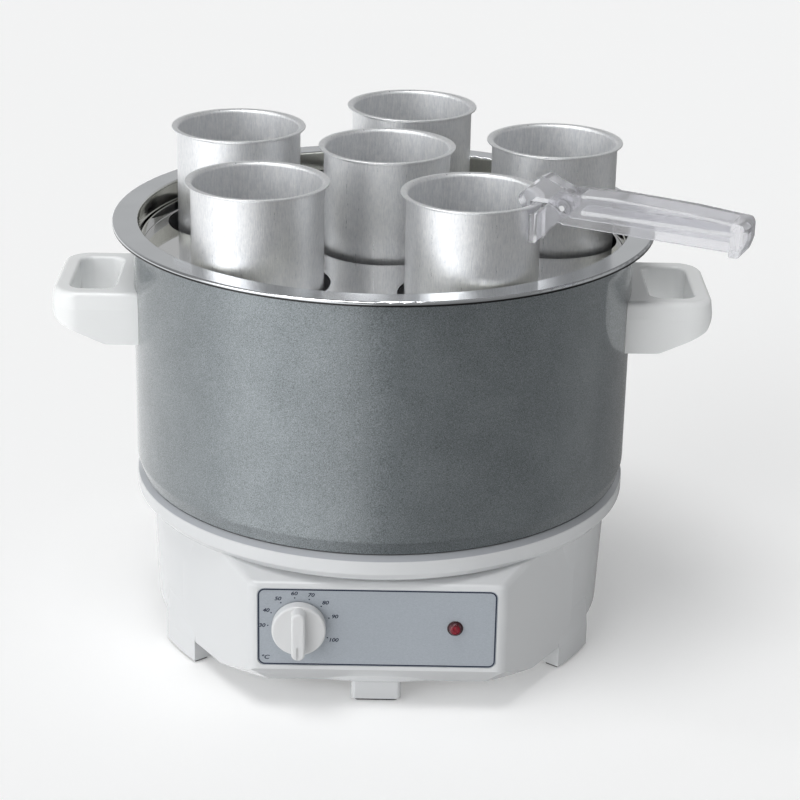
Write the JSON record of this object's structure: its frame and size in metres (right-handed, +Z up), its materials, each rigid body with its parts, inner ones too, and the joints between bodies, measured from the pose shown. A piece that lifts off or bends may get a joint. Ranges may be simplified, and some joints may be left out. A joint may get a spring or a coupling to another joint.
{
  "type": "candle wax melter",
  "caption": "Thermostat-controlled water-bath melter: painted round jacket on a white base, rack of flared wax cups, side handles and a clear clip-on pouring grip",
  "frame": {"origin": "on the pot's axis, on the surface that the foot pads stand on", "axes": "+X to the right as seen from the front, -Y towards the control panel, +Z up"},
  "size_m": [0.4626, 0.3865, 0.37],
  "materials": {
    "stainless_steel": "satin stainless sheet",
    "polished_steel": "mirror-polished stainless sheet",
    "cup_aluminium": "brushed satin aluminium",
    "jacket_paint": "metallic grey-green flake under gloss clear coat",
    "white_plastic": "glossy white moulding",
    "fascia_paint": "metallic grey-blue with a dark border line",
    "knob_plastic": "white moulding",
    "red_lens": "translucent red lens",
    "clear_plastic": "clear moulded plastic",
    "foot_rubber": "matt rubber pads",
    "silicone_rubber": "silicone rubber",
    "glass_wool": "glass fibre blanket",
    "zinc_steel": "zinc-plated steel",
    "heat_aluminium": "rolled aluminium",
    "element_sheath": "oxidised heater sheath",
    "copper": "bright copper",
    "ceramic": "off-white ceramic",
    "black_plastic": "black nylon",
    "pin_steel": "bright steel wire"
  },
  "bodies": {
    "melter": {"tank": "stainless_steel", "tank_stud": "zinc_steel", "jacket": "jacket_paint", "insulation_blanket": "glass_wool", "seat_gasket": "silicone_rubber", "base_housing": "white_plastic", "fascia_plate": "fascia_paint", "foot_pads": "foot_rubber", "bottom_cover": "zinc_steel", "cover_screws": "zinc_steel", "chassis_plate": "zinc_steel", "chassis_screws": "zinc_steel", "heat_reflector": "zinc_steel", "heat_plate": "heat_aluminium", "heating_element": "element_sheath", "stud_nut": "zinc_steel", "thermal_cutout": "ceramic", "sensor_bulb": "copper", "bulb_clip": "zinc_steel", "capillary_tube": "copper", "capillary_grommet": "silicone_rubber", "thermostat_body": "ceramic", "thermostat_nut": "zinc_steel", "pilot_lamp_lens": "red_lens", "pilot_lamp_body": "black_plastic", "terminal_block": "ceramic", "cord_gland": "black_plastic", "gland_nut": "black_plastic", "handle_right": "white_plastic", "handle_left": "white_plastic", "handle_screws": "zinc_steel"},
    "knob": {"thermostat_knob": "knob_plastic", "thermostat_shaft": "zinc_steel"},
    "rack": {"insert_plate": "polished_steel"},
    "cup_middle_lift": {"cup_middle": "cup_aluminium"},
    "cup_rear_lift": {"cup_rear": "cup_aluminium"},
    "cup_right_lift": {"cup_right": "cup_aluminium"},
    "cup_front_right_lift": {"cup_front_right": "cup_aluminium", "grip_arm": "clear_plastic", "grip_pin": "pin_steel", "grip_spring": "pin_steel"},
    "cup_front_left_lift": {"cup_front_left": "cup_aluminium"},
    "cup_left_lift": {"cup_left": "cup_aluminium"},
    "grip_jaw": {"grip_lever": "clear_plastic"}
  },
  "joints": [
    {"name": "knob_turn", "type": "hinge", "parent": "melter", "child": "knob", "pos_m": [-0.0525, -0.17, 0.0645], "axis": [0, 1, 0], "range_deg": [0, 294]},
    {"name": "rack_lift", "type": "slide", "parent": "melter", "child": "rack", "axis": [0, 0, 1], "range_m": [0, 0.2]},
    {"name": "cup_middle_slide", "type": "slide", "parent": "rack", "child": "cup_middle_lift", "axis": [0, 0, 1], "range_m": [0, 0.22]},
    {"name": "cup_rear_slide", "type": "slide", "parent": "rack", "child": "cup_rear_lift", "axis": [0, 0, 1], "range_m": [0, 0.22]},
    {"name": "cup_right_slide", "type": "slide", "parent": "rack", "child": "cup_right_lift", "axis": [0, 0, 1], "range_m": [0, 0.22]},
    {"name": "cup_front_right_slide", "type": "slide", "parent": "rack", "child": "cup_front_right_lift", "axis": [0, 0, 1], "range_m": [0, 0.22]},
    {"name": "cup_front_left_slide", "type": "slide", "parent": "rack", "child": "cup_front_left_lift", "axis": [0, 0, 1], "range_m": [0, 0.22]},
    {"name": "cup_left_slide", "type": "slide", "parent": "rack", "child": "cup_left_lift", "axis": [0, 0, 1], "range_m": [0, 0.22]},
    {"name": "grip_squeeze", "type": "hinge", "parent": "cup_front_right_lift", "child": "grip_jaw", "pos_m": [0.11715, -0.13619, 0.352], "axis": [0.4147, 0.91, 0], "range_deg": [0, 20], "stiffness_Nm_per_rad": 0.5, "springref_deg": -17.19}
  ]
}
